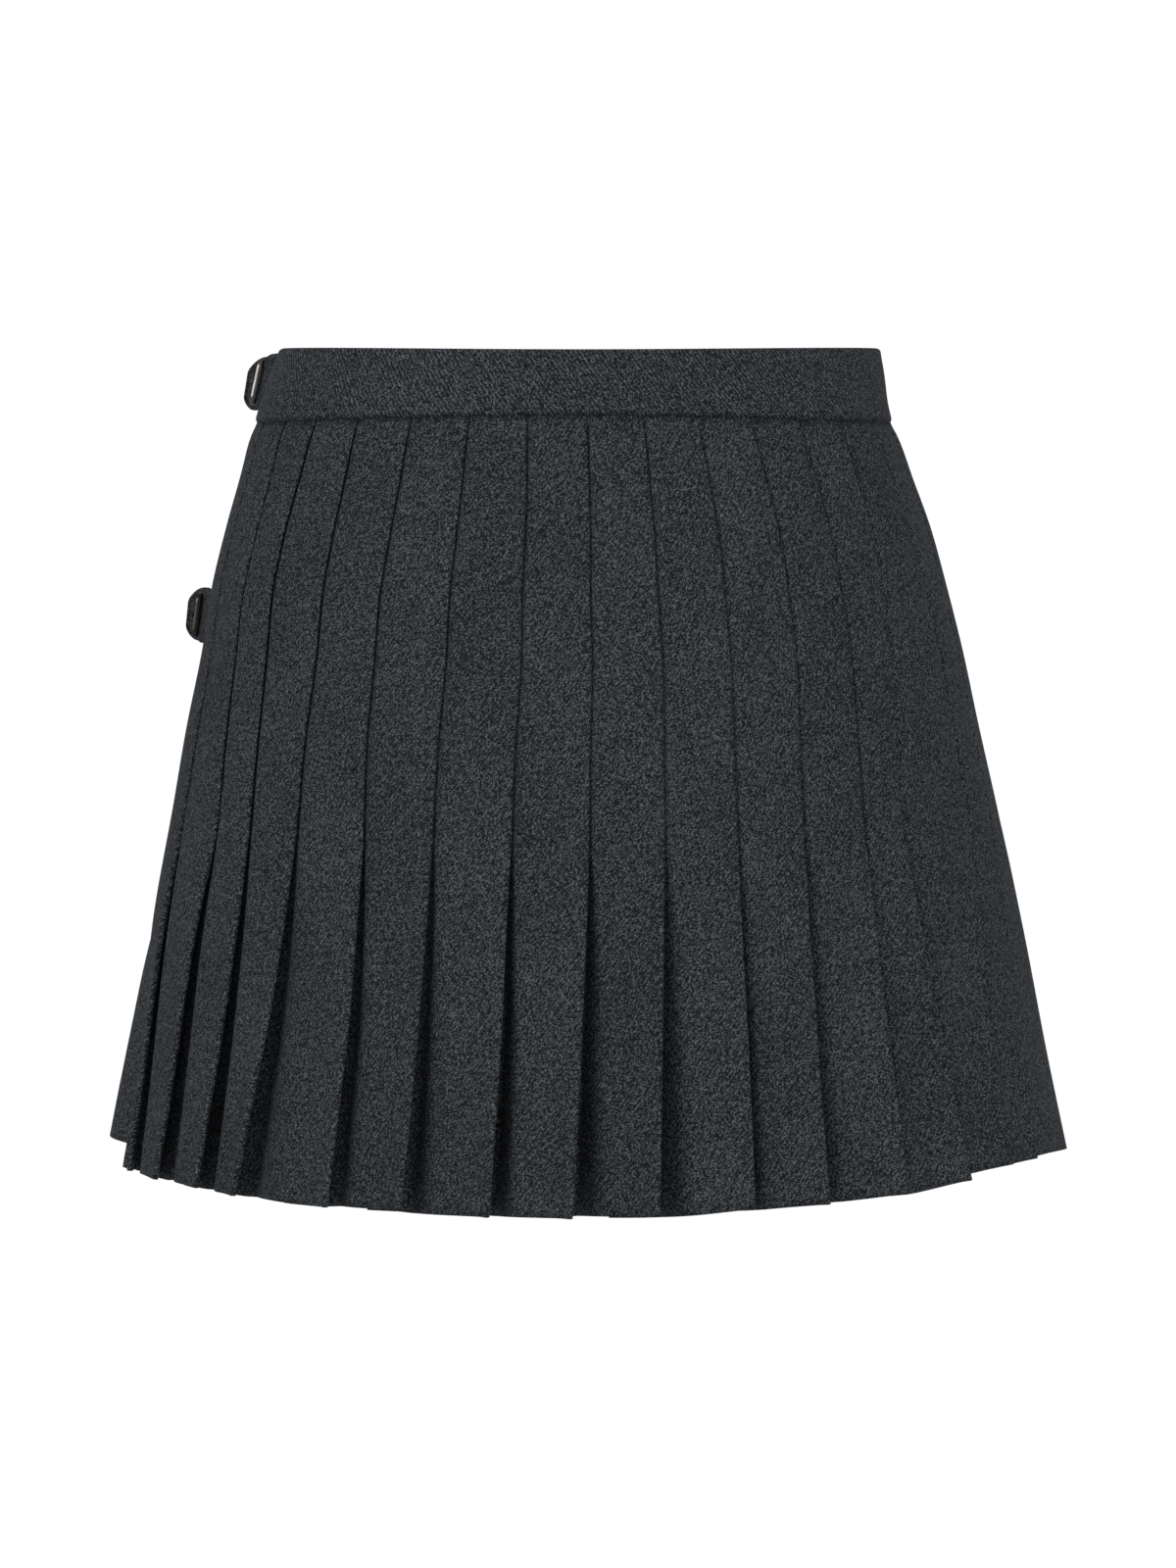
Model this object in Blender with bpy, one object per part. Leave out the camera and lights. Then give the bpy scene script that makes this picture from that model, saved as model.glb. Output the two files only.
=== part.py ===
"""Pleated wrap mini skirt: hollow cloth walls on a general figure, seen as worn.

The waistband's top edge lies at height 0 with its middle over the origin, and the cloth hangs down
from it. The pleated back faces -Y and the flat front panel faces +Y. Places round the skirt are
given as turns: a turn of 0 is the middle of the back, 1 the right side (+X), 2 the middle of the
front and -1 the left side (-X). Places outward are given from the inner face of the pleated cloth.
"""
import math

import bmesh
import bpy
import numpy as np

# Driving sizes, in metres.
CLOTH = 0.0012
LAYER_STEP = 0.0015
SEAM_GAP = 0.0003
BAND_THICK = 0.0030
BAND_INNER = 0.0006
SEAM_DEPTH_BACK = 0.0300
SEAM_DEPTH_SIDE = 0.0330
TOP_DIP_BACK = 0.0022
TOP_DIP_SIDE = 0.0005
HEM_DEPTH_BACK = 0.3592
FRONT_HEM_DEPTH = 0.3492
RELEASE_DEPTH = 0.2127
ROUNDNESS = 0.71
JOIN_TURN = 1.12
BAND_FREE_TURN = -0.987
UNDER_END_TURN = 3.50

# Rings down the cloth, as shares of the way from the seam to the hem.
RINGS = (0.0, 0.09, 0.20, 0.32, 0.44, 0.56, 0.62, 0.71, 0.81, 0.91, 1.0)

# depth, half_width, back_reach, front_reach, middle_x
SECTIONS = (
    (0.000, 0.1286, 0.0914, 0.0894, -0.0009),
    (0.030, 0.1364, 0.0965, 0.0944, -0.0037),
    (0.054, 0.1432, 0.1012, 0.0981, -0.0028),
    (0.078, 0.1510, 0.1065, 0.1032, -0.0018),
    (0.106, 0.1584, 0.1117, 0.1078, -0.0013),
    (0.132, 0.1638, 0.1156, 0.1109, 0.0000),
    (0.166, 0.1711, 0.1209, 0.1156, 0.0002),
    (0.210, 0.1803, 0.1277, 0.1219, 0.0013),
    (0.256, 0.1899, 0.1334, 0.1286, 0.0013),
    (0.307, 0.1998, 0.1400, 0.1360, 0.0017),
    (0.359, 0.2110, 0.1464, 0.1439, 0.0027),
)

# turn, depth of the pleats' hem
HEM_DEPTHS = (
    (-1.00, 0.3531),
    (-0.78, 0.3567),
    (-0.60, 0.3583),
    (-0.45, 0.3598),
    (-0.25, 0.3601),
    (0.00, 0.3607),
    (0.12, 0.3608),
    (0.25, 0.3581),
    (0.42, 0.3563),
    (0.50, 0.3548),
    (0.58, 0.3520),
    (0.68, 0.3500),
    (0.80, 0.3497),
    (0.95, 0.3525),
    (1.12, 0.3515),
)

# Depths at which the turns of the pleat edges below are given.
EDGE_DEPTHS = (0.031, 0.080, 0.130, 0.170, 0.213, 0.241, 0.282, 0.322, 0.358)

# How much of each panel has the pleat's folds under it, at those depths.
UNDERLAPS = (0.80, 0.80, 0.78, 0.75, 0.72, 0.68, 0.63, 0.58, 0.55)

# Turn of the free left edge at those depths.
FREE_EDGE = (-0.990, -0.990, -0.990, -0.990, -0.990, -0.950, -0.880, -0.832, -0.822)

# How far the front panel swells out beside the free edge, and the depths of those swells.
SWELL_DEPTHS = (0.050, 0.120, 0.200, 0.241, 0.282, 0.322, 0.358)
SWELLS = (0.0, 0.0030, 0.0045, 0.0078, 0.0078, 0.0074, 0.0074)

# One row per pleat, left to right: its edge's turn at those depths, how far the edge stands out at
# the hem, and how much lower its hem hangs.
PLEATS = (
    ((-0.866, -0.864, -0.861, -0.851, -0.850, -0.841, -0.823, -0.802, -0.787), 0.0025, 0.0000),
    ((-0.747, -0.750, -0.750, -0.731, -0.716, -0.717, -0.713, -0.708, -0.704), 0.0040, -0.0004),
    ((-0.634, -0.656, -0.654, -0.638, -0.628, -0.617, -0.610, -0.609, -0.609), 0.0045, -0.0008),
    ((-0.511, -0.524, -0.527, -0.526, -0.522, -0.517, -0.517, -0.526, -0.533), 0.0062, -0.0004),
    ((-0.374, -0.390, -0.400, -0.397, -0.388, -0.380, -0.373, -0.375, -0.377), 0.0072, -0.0004),
    ((-0.236, -0.248, -0.257, -0.261, -0.263, -0.260, -0.259, -0.261, -0.264), 0.0080, -0.0008),
    ((-0.103, -0.107, -0.114, -0.121, -0.127, -0.128, -0.129, -0.133, -0.138), 0.0080, 0.0004),
    ((0.031, 0.024, 0.018, 0.012, 0.005, 0.002, -0.006, -0.014, -0.022), 0.0080, 0.0002),
    ((0.158, 0.153, 0.149, 0.143, 0.132, 0.126, 0.118, 0.110, 0.102), 0.0070, -0.0006),
    ((0.281, 0.286, 0.280, 0.271, 0.260, 0.256, 0.251, 0.245, 0.239), 0.0060, 0.0000),
    ((0.408, 0.418, 0.413, 0.397, 0.380, 0.372, 0.365, 0.357, 0.349), 0.0070, 0.0008),
    ((0.536, 0.541, 0.533, 0.518, 0.499, 0.491, 0.486, 0.481, 0.475), 0.0080, 0.0005),
    ((0.660, 0.655, 0.636, 0.606, 0.583, 0.582, 0.584, 0.586, 0.589), 0.0080, 0.0016),
    ((0.786, 0.792, 0.790, 0.780, 0.764, 0.741, 0.714, 0.697, 0.690), 0.0050, 0.0000),
    ((0.905, 0.900, 0.890, 0.878, 0.856, 0.831, 0.804, 0.784, 0.765), 0.0030, 0.0005),
    ((1.015, 1.012, 1.008, 1.000, 0.985, 0.965, 0.940, 0.920, 0.905), 0.0020, 0.0000),
)

# One row per pleat edge, for the hem: how far past the edge the next panel rises, over what width,
# and from how deep behind it.
GAPS = (
    (0.0004, 0.0040, 0.0005),
    (0.0004, 0.0060, 0.0000),
    (0.0004, 0.0080, 0.0000),
    (0.0004, 0.0200, 0.0000),
    (0.0004, 0.0220, 0.0010),
    (0.0008, 0.0200, 0.0050),
    (0.0008, 0.0120, 0.0085),
    (0.0020, 0.0170, 0.0100),
    (0.0015, 0.0210, 0.0100),
    (0.0004, 0.0060, 0.0055),
    (0.0010, 0.0090, 0.0070),
    (0.0006, 0.0060, 0.0035),
    (0.0010, 0.0070, 0.0045),
    (0.0010, 0.0060, 0.0040),
    (0.0005, 0.0050, 0.0030),
    (0.0005, 0.0050, 0.0015),
)
# How far the cloth that lies under the pleats moves inward at the hem to clear those folds.
UNDERLAP_CLEAR = 0.0040
# Where the pleats are sewn down: how far past an edge the next panel starts to rise, and how far
# before the fold that it covers it is up, so that the wall passes clear of both folds.
FOLD_CLEAR = 0.0012
UNDER_CLEAR = 0.0011
SHOULDER_STOPS = (0.25, 0.60, 1.00)
# How far past the top of that rise each layer has its middle point at the least.
BEND_PAST = 0.0005

# Rows along a strap: how far forward of the left side, how far out, its half width, and how much
# its face leans outward per metre down.
STRAP_ROWS = (
    (-0.0019, 0.0019, 0.0118, 0.310),
    (0.0010, 0.0036, 0.0119, 0.290),
    (0.0050, 0.0054, 0.0120, 0.260),
    (0.0110, 0.0061, 0.0120, 0.230),
    (0.0180, 0.0063, 0.0120, 0.215),
    (0.0225, 0.0083, 0.0120, 0.205),
    (0.0260, 0.0107, 0.0117, 0.190),
    (0.0285, 0.0128, 0.0105, 0.180),
    (0.0300, 0.0141, 0.0085, 0.170),
    (0.0307, 0.0146, 0.0058, 0.160),
)
STRAP_THICK = 0.0024
STRAP_COLUMNS = (-1.0, -0.8, -0.4, 0.0, 0.4, 0.8, 1.0)

# name, depth of its middle, drop toward its tip, share of the table's lean, extra reach outward
STRAPS = (
    ("upper", 0.0145, 0.0016, 1.00, 0.0000),
    ("lower", 0.1186, 0.0000, 0.62, 0.0004),
)

# Metal frame lying on the strap.
FRAME_HALF_HEIGHT = 0.0100
FRAME_NEAR = 0.0060
FRAME_FAR = 0.0186
FRAME_OUT = 0.0091
FRAME_BAR = 0.0028
FRAME_CORNER = 0.0022
PIN_RADIUS = 0.0008

# name, colour, roughness, metallic
MATERIALS = {
    "wool": ((0.036, 0.040, 0.045, 1.0), 0.92, 0.0),
    "strap_wool": ((0.030, 0.034, 0.039, 1.0), 0.90, 0.0),
    "gunmetal": ((0.42, 0.41, 0.40, 1.0), 0.32, 1.0),
}


def blend(share):
    """Smooth step from 0 to 1: 3 s^2 - 2 s^3 with s held between 0 and 1."""
    held = np.clip(share, 0.0, 1.0)
    return held * held * (3.0 - 2.0 * held)


def curve(stops, values, where):
    """Smooth curve through the values at the stops (cubic Hermite), held at both ends."""
    stops = np.asarray(stops, dtype=float)
    values = np.asarray(values, dtype=float)
    where = np.clip(np.asarray(where, dtype=float), stops[0], stops[-1])
    slopes = np.gradient(values, stops)
    row = np.clip(np.searchsorted(stops, where, side="right") - 1, 0, len(stops) - 2)
    span = stops[row + 1] - stops[row]
    t = (where - stops[row]) / span
    start = (1.0 + 2.0 * t) * (1.0 - t) ** 2 * values[row] + t * (1.0 - t) ** 2 * span * slopes[row]
    stop = t * t * (3.0 - 2.0 * t) * values[row + 1] + t * t * (t - 1.0) * span * slopes[row + 1]
    return start + stop


def sections_at(depth):
    """Half width, back reach, front reach and middle x of the inner face at the depths."""
    table = np.asarray(SECTIONS)
    return [curve(table[:, 0], table[:, column], depth) for column in (1, 2, 3, 4)]


def angle_table():
    """Angles from the middle of the back to the side, and the share of the quarter run to each."""
    angles = np.linspace(0.0, math.pi / 2.0, 241)
    speed = np.hypot(np.cos(angles), ROUNDNESS * np.sin(angles))
    run = np.concatenate(([0.0], np.cumsum((speed[1:] + speed[:-1]) / 2.0)))
    return angles, run / run[-1]


ANGLES, ANGLE_SHARES = angle_table()


def quarter_run(depth):
    """Length of the outline from the middle of the back to the side at a depth."""
    half, back, _, _ = sections_at(depth)
    angles = np.linspace(0.0, math.pi / 2.0, 91)
    speed = np.hypot(half * np.cos(angles), back * np.sin(angles))
    return float((speed[1:] + speed[:-1]).sum() / 2.0 * (angles[1] - angles[0]))


def place(turn, out, depth):
    """Points at the turns and depths, moved out square to the level outline there.

    x = middle + side * (half sin a + out reach sin a / size)
    y = facing * (reach cos a + out half cos a / size), with size = hypot(reach sin a, half cos a).
    """
    turn = (np.asarray(turn, dtype=float) + 2.0) % 4.0 - 2.0
    out = np.asarray(out, dtype=float)
    depth = np.broadcast_to(np.asarray(depth, dtype=float), turn.shape)
    half, back, front, middle = sections_at(depth)
    behind = np.abs(turn) <= 1.0
    side = np.where(turn < 0.0, -1.0, 1.0)
    share = np.where(behind, np.abs(turn), 2.0 - np.abs(turn))
    angle = np.interp(share, ANGLE_SHARES, ANGLES)
    reach = np.where(behind, back, front)
    facing = np.where(behind, -1.0, 1.0)
    normal_x = reach * np.sin(angle)
    normal_y = half * np.cos(angle)
    size = np.hypot(normal_x, normal_y)
    x = middle + side * (half * np.sin(angle) + out * normal_x / size)
    y = facing * (reach * np.cos(angle) + out * normal_y / size)
    return x, y


def seam_depth(turn):
    """Depth of the band's lower edge: a little higher at the middle of the back."""
    turn = (np.asarray(turn, dtype=float) + 2.0) % 4.0 - 2.0
    return SEAM_DEPTH_BACK + (SEAM_DEPTH_SIDE - SEAM_DEPTH_BACK) * blend(np.abs(turn))


def top_depth(turn):
    turn = (np.asarray(turn, dtype=float) + 2.0) % 4.0 - 2.0
    return TOP_DIP_BACK + (TOP_DIP_SIDE - TOP_DIP_BACK) * blend(np.abs(turn))


def back_hem_depth(turn):
    table = np.asarray(HEM_DEPTHS)
    return curve(table[:, 0], table[:, 1], turn)


def ring_depth(share):
    """Depth whose outline a ring of the cloth takes."""
    top = SEAM_DEPTH_SIDE
    return top + (0.3577 - top) * share


def opening(depth):
    """How far the pleats have opened at a depth, from 0 at the release to 1 at the hem."""
    share = (depth - RELEASE_DEPTH) / (HEM_DEPTH_BACK - RELEASE_DEPTH)
    return max(0.0, min(1.0, share)) ** 0.6


def new_material(name):
    colour, rough, metal = MATERIALS[name]
    material = bpy.data.materials.new(name)
    material.use_nodes = True
    shader = material.node_tree.nodes["Principled BSDF"]
    shader.inputs["Base Color"].default_value = colour
    shader.inputs["Roughness"].default_value = rough
    shader.inputs["Metallic"].default_value = metal
    material.diffuse_color = colour
    return material


def add_solid(name, points, faces, material, smooth):
    """One closed solid from points and faces, with its faces turned outward."""
    mesh = bpy.data.meshes.new(name)
    mesh.from_pydata([tuple(float(value) for value in point) for point in points], [], faces)
    shape = bmesh.new()
    shape.from_mesh(mesh)
    bmesh.ops.recalc_face_normals(shape, faces=shape.faces[:])
    if shape.calc_volume(signed=True) < 0.0:
        bmesh.ops.reverse_faces(shape, faces=shape.faces[:])
    shape.to_mesh(mesh)
    shape.free()
    for face in mesh.polygons:
        face.use_smooth = smooth
    mesh.materials.append(material)
    solid = bpy.data.objects.new(name, mesh)
    bpy.context.collection.objects.link(solid)
    return solid


def wall_faces(rows, columns):
    """Faces of a sheet with an outer and an inner grid of points, closed all round its edge."""
    def outer(row, column):
        return row * columns + column

    def inner(row, column):
        return rows * columns + row * columns + column

    faces = []
    for row in range(rows - 1):
        for column in range(columns - 1):
            corners = ((row, column), (row, column + 1), (row + 1, column + 1), (row + 1, column))
            faces.append([outer(*corner) for corner in corners])
            faces.append([inner(*corner) for corner in reversed(corners)])
    rim = [(0, column) for column in range(columns)]
    rim += [(row, columns - 1) for row in range(1, rows)]
    rim += [(rows - 1, column) for column in range(columns - 2, -1, -1)]
    rim += [(row, 0) for row in range(rows - 2, 0, -1)]
    for place, corner in enumerate(rim):
        following = rim[(place + 1) % len(rim)]
        faces.append([outer(*following), outer(*corner), inner(*corner), inner(*following)])
    return faces


def add_wall(name, outer_grid, inner_grid, material, smooth=True):
    """Solid sheet between two grids of points of the same size."""
    outer_grid = np.asarray(outer_grid)
    inner_grid = np.asarray(inner_grid)
    rows, columns, _ = outer_grid.shape
    points = np.concatenate((outer_grid.reshape(-1, 3), inner_grid.reshape(-1, 3)))
    return add_solid(name, points, wall_faces(rows, columns), material, smooth)


def shifted(path, distance):
    """The path in (along, out) moved sideways by a distance, its corners kept square."""
    steps = np.diff(path, axis=0)
    steps /= np.linalg.norm(steps, axis=1)[:, None]
    sides = np.stack((-steps[:, 1], steps[:, 0]), axis=1)
    moved = np.empty_like(path)
    moved[0] = path[0] + sides[0] * distance
    moved[-1] = path[-1] + sides[-1] * distance
    both = sides[:-1] + sides[1:]
    moved[1:-1] = path[1:-1] + both * distance / (1.0 + (sides[:-1] * sides[1:]).sum(1))[:, None]
    return moved


def pleat_path(depth):
    """Middle line of the pleated cloth at a depth, as rows of (along, out), with hem drops.

    Sewn down, a panel rises in a straight step between the edge before it and the fold it covers.
    Opened, it rises from deep behind that edge by 1 - (1 - s)^1.9. It then runs out to its own
    edge, folds back under itself twice and goes on under the next panel.
    """
    quarter = quarter_run(depth)
    low = CLOTH / 2.0
    mid = low + LAYER_STEP
    high = low + 2.0 * LAYER_STEP
    open_share = opening(depth)
    mix = open_share ** 0.5
    underlap = float(curve(EDGE_DEPTHS, UNDERLAPS, depth))
    previous = float(curve(EDGE_DEPTHS, FREE_EDGE, depth)) * quarter
    previous_out = low + 0.0040 * open_share
    foot = previous
    foot_out = previous_out
    sweep = 0.0
    dive_before = 0.0
    path = [(previous, previous_out)]
    drops = [0.0]
    for row, ((turns, stand, drop), (core, wide, dive)) in enumerate(zip(PLEATS, GAPS)):
        edge = float(curve(EDGE_DEPTHS, turns, depth)) * quarter
        lift = stand * open_share
        under = edge - underlap * (edge - previous)
        top = high + 0.12 * lift
        sink = 0.35 * open_share * min(dive, dive_before)
        shoulder = 0.0 if row == 0 else mix
        for share in SHOULDER_STOPS:
            start = previous + FOLD_CLEAR
            sewn_along = start + share * (under - UNDER_CLEAR - start)
            sewn_out = previous_out + share * (top - previous_out)
            open_along = foot + sweep * share
            open_out = foot_out + (top - foot_out) * (1.0 - (1.0 - share) ** 1.9)
            path.append((sewn_along + (open_along - sewn_along) * shoulder,
                         sewn_out + (open_out - sewn_out) * shoulder))
        shoulder_end, shoulder_out = path[-1]
        bend = max(shoulder_end + BEND_PAST, (under + edge) / 2.0)
        rise = (high + lift - shoulder_out) / (edge - shoulder_end)
        face = shoulder_out + rise * (bend - shoulder_end)
        path.append((bend, face))
        path.append((edge, high + lift))
        panel = np.array(path[-len(SHOULDER_STOPS) - 3:])
        turned = min(mid - sink, np.interp(under, panel[:, 0], panel[:, 1]) - LAYER_STEP)
        back = mid + 0.85 * lift
        straight = turned + (back - turned) * (bend - under) / (edge - under)
        path.append((edge, back))
        below = min(straight, face - LAYER_STEP)
        if shoulder_end > under:
            clear = (shoulder_out - LAYER_STEP - turned) / (shoulder_end - under)
            below = min(below, turned + clear * (bend - under))
        path.append((bend, below))
        path.append((under, turned))
        path.append((under, turned - LAYER_STEP))
        foot = edge + core * open_share
        foot_out = low - dive * open_share
        sweep = wide * (0.25 + 0.75 * open_share)
        next_along = edge + FOLD_CLEAR + (foot - edge - FOLD_CLEAR) * mix
        next_out = low + (foot_out - low) * mix
        bottom = turned - LAYER_STEP
        bottom += (next_out - bottom) * (bend - under) / (next_along - under)
        path.append((bend, bottom))
        path.append((next_along, next_out))
        drops += [drop] * 5 + [0.8 * drop, 0.5 * drop, 0.2 * drop, 0.0, 0.0, 0.0]
        previous = edge
        previous_out = low
        dive_before = dive
    end = JOIN_TURN * quarter - SEAM_GAP
    path.append((end - 0.0040, BAND_INNER + BAND_THICK / 2.0))
    path.append((end, BAND_INNER + BAND_THICK / 2.0))
    drops += [0.0, 0.0]
    return quarter, np.array(path), np.array(drops)


def pleated_back(material):
    outer_grid = []
    inner_grid = []
    for share in RINGS:
        quarter, path, drops = pleat_path(ring_depth(share))
        for grid, distance in ((outer_grid, CLOTH / 2.0), (inner_grid, -CLOTH / 2.0)):
            line = shifted(path, distance)
            turn = line[:, 0] / quarter
            top = seam_depth(turn) + SEAM_GAP
            depth = top + (back_hem_depth(turn) - top) * share
            x, y = place(turn, line[:, 1], depth)
            depth = depth + drops * share ** 3
            grid.append(np.stack((x, y, -depth), axis=1))
    return add_wall("pleated_back", outer_grid, inner_grid, material)


def band_middle(turn):
    """How far out the middle of the band lies: it slips inward as it goes round the front."""
    start = BAND_INNER + BAND_THICK / 2.0
    return start - 0.0033 * blend((np.asarray(turn, dtype=float) - 1.3) / 1.4)


def front_swell(turn, depth):
    """How far the front panel stands out where it leaves the pleats' free edge."""
    turn = np.asarray(turn, dtype=float)
    free = float(curve(EDGE_DEPTHS, FREE_EDGE, depth)) + 4.0
    away = blend((free - 0.012 - turn) / 0.15)
    near = blend((turn - 2.25) / 0.55)
    reach = np.interp(depth, SWELL_DEPTHS, SWELLS)
    return reach * away * near


def underlap_shift(turn, depth):
    """How far the front panel's part under the pleats lies inward, from the free edge on."""
    free = float(curve(EDGE_DEPTHS, FREE_EDGE, depth)) + 4.0
    return UNDERLAP_CLEAR * opening(depth) * blend((np.asarray(turn) - free - 0.005) / 0.09)


def front_panel(material):
    outer_grid = []
    inner_grid = []
    turns = np.concatenate((np.linspace(JOIN_TURN, 2.5, 11), np.linspace(2.6, UNDER_END_TURN, 14)))
    for share in RINGS:
        top = seam_depth(turns) + SEAM_GAP
        depth = top + (FRONT_HEM_DEPTH - top) * share
        middle = band_middle(turns) - 0.0004 * blend((turns - 1.3) / 1.4)
        middle = middle + front_swell(turns, ring_depth(share))
        middle = middle - underlap_shift(turns, ring_depth(share))
        for grid, distance in ((outer_grid, CLOTH / 2.0), (inner_grid, -CLOTH / 2.0)):
            x, y = place(turns, middle + distance, depth)
            grid.append(np.stack((x, y, -depth), axis=1))
    return add_wall("front_panel", outer_grid, inner_grid, material)


def waistband(material):
    outer_grid = []
    inner_grid = []
    turns = np.linspace(BAND_FREE_TURN, UNDER_END_TURN, 73)
    for share in (0.0, 0.5, 1.0):
        middle = band_middle(turns)
        top = top_depth(turns)
        depth = top + (seam_depth(turns) - top) * share
        for grid, distance in ((outer_grid, BAND_THICK / 2.0), (inner_grid, -BAND_THICK / 2.0)):
            x, y = place(turns, middle + distance, depth)
            grid.append(np.stack((x, y, -depth), axis=1))
    return add_wall("waistband", outer_grid, inner_grid, material)


def side_place(depth, forward, out, drop, lean):
    """A point by the left side: forward of it, out from it, and below the middle of the strap."""
    half, _, _, middle = sections_at(depth)
    return float(middle - half) - out - lean * drop, forward, -(depth + drop)


def strap(name, depth, tip_drop, lean_share, reach, material):
    """Cloth strap with a rounded tip: rows along it, columns across it, moved out by its thickness."""
    outer_grid = []
    inner_grid = []
    last = STRAP_ROWS[-1][0]
    slopes = np.gradient([row[1] for row in STRAP_ROWS], [row[0] for row in STRAP_ROWS])
    slopes[0] = 0.0
    for slope, (forward, out, half_width, lean) in zip(slopes, STRAP_ROWS):
        size = math.hypot(slope, 1.0)
        sag = tip_drop * max(0.0, forward) / last
        for grid, side in ((outer_grid, 1.0), (inner_grid, -1.0)):
            line = []
            for column in STRAP_COLUMNS:
                move = side * STRAP_THICK / 2.0
                ahead = forward - move * slope / size
                away = out + reach + move / size
                line.append(side_place(depth, ahead, away, sag + column * half_width, lean * lean_share))
            grid.append(line)
    return add_wall(name + "_strap", outer_grid, inner_grid, material)


def buckle(name, depth, tip_drop, lean_share, reach, material):
    """Rectangular metal frame with rounded corners, lying on the strap."""
    near = FRAME_NEAR + FRAME_BAR / 2.0
    far = FRAME_FAR - FRAME_BAR / 2.0
    tall = FRAME_HALF_HEIGHT - FRAME_BAR / 2.0
    corner = FRAME_CORNER
    lean = 0.22 * lean_share
    outline = []
    for centre_forward, centre_drop, first in (
            (far - corner, tall - corner, 0.0), (near + corner, tall - corner, 90.0),
            (near + corner, corner - tall, 180.0), (far - corner, corner - tall, 270.0)):
        for step in range(3):
            angle = math.radians(first + 45.0 * step)
            direction = (math.cos(angle), math.sin(angle))
            outline.append((centre_forward + corner * direction[0],
                            centre_drop + corner * direction[1], direction))
        if first == 90.0:
            outline.append((near, 0.0, (-1.0, 0.0)))
    points = []
    sides = 8
    for forward, drop, direction in outline:
        for step in range(sides):
            angle = 2.0 * math.pi * (step + 0.5) / sides
            move = FRAME_BAR / 2.0 * math.cos(angle)
            rise = FRAME_BAR / 2.0 * math.sin(angle)
            sag = tip_drop * forward / STRAP_ROWS[-1][0]
            points.append(side_place(depth, forward + direction[0] * move,
                                     FRAME_OUT + reach + rise,
                                     sag + drop + direction[1] * move, lean))
    faces = []
    count = len(outline)
    for row in range(count):
        for step in range(sides):
            after = (row + 1) % count
            beside = (step + 1) % sides
            faces.append([row * sides + step, row * sides + beside,
                          after * sides + beside, after * sides + step])
    return add_solid(name + "_buckle", points, faces, material, True)


def pin(name, depth, tip_drop, lean_share, reach, material):
    """Straight pin from the far bar to the near one, lying on top of both."""
    out = FRAME_OUT + reach + FRAME_BAR / 2.0 + PIN_RADIUS + 0.0001
    lean = 0.22 * lean_share
    sides = 8
    points = []
    stations = ((FRAME_FAR - 0.0002, 0.6), (FRAME_FAR - 0.0010, 1.0),
                (FRAME_NEAR + 0.0014, 1.0), (FRAME_NEAR + 0.0002, 0.55))
    for forward, size in stations:
        sag = tip_drop * forward / STRAP_ROWS[-1][0]
        for step in range(sides):
            angle = 2.0 * math.pi * step / sides
            points.append(side_place(depth, forward, out + size * PIN_RADIUS * math.sin(angle),
                                     sag + size * PIN_RADIUS * math.cos(angle), lean))
    faces = [list(range(sides)), list(range(3 * sides, 4 * sides))[::-1]]
    for row in range(3):
        for step in range(sides):
            beside = (step + 1) % sides
            faces.append([row * sides + step, row * sides + beside,
                          (row + 1) * sides + beside, (row + 1) * sides + step])
    return add_solid(name + "_pin", points, faces, material, True)


def build():
    for old in list(bpy.data.objects):
        bpy.data.objects.remove(old, do_unlink=True)
    wool = new_material("wool")
    strap_wool = new_material("strap_wool")
    gunmetal = new_material("gunmetal")
    waistband(wool)
    pleated_back(wool)
    front_panel(wool)
    for name, depth, tip_drop, lean_share, reach in STRAPS:
        strap(name, depth, tip_drop, lean_share, reach, strap_wool)
        buckle(name, depth, tip_drop, lean_share, reach, gunmetal)
        pin(name, depth, tip_drop, lean_share, reach, gunmetal)


build()
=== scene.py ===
"""Pleated wrap mini skirt in charcoal wool: the looks that go over the solids.

The skirt hangs as worn, with its waistband's top edge at height 0 and its pleated back towards -Y.
Places round it are turns: 0 is the middle of the back, 1 the right side, 2 the middle of the front
and -1 the left side. Places outward are given from the inner face of the pleated cloth, and depths
run down from the top edge.
"""
import math

import bpy
import numpy as np
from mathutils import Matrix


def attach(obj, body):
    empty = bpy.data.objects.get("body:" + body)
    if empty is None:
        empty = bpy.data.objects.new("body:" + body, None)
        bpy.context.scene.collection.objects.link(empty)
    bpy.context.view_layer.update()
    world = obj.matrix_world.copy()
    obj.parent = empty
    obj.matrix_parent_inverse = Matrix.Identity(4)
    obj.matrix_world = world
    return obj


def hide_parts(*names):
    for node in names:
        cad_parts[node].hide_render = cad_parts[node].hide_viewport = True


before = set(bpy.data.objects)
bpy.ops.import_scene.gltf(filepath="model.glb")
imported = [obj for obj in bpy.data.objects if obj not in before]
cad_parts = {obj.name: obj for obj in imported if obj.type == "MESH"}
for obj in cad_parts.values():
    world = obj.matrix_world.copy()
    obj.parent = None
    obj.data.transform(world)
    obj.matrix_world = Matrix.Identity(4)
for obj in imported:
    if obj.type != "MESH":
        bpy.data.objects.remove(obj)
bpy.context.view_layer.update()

# ---------------------------------------------------------------- sizes, in metres
CLOTH = 0.0010
STEP = 0.0015
LOW = 0.0006
BAND_THICK = 0.0030
BAND_CENTRE = 0.0021
TUCK = 0.0025
SEAM_BACK = 0.0300
SEAM_SIDE = 0.0330
TOP_DIP_BACK = 0.0022
TOP_DIP_SIDE = 0.0005
HEM_BACK = 0.3592
HEM_FRONT = 0.3492
LAST_RING = 0.3577
RELEASE = 0.2127
ROUNDNESS = 0.71
JOIN_TURN = 1.12
BAND_FREE_TURN = -0.987
UNDER_END_TURN = 3.50

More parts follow.
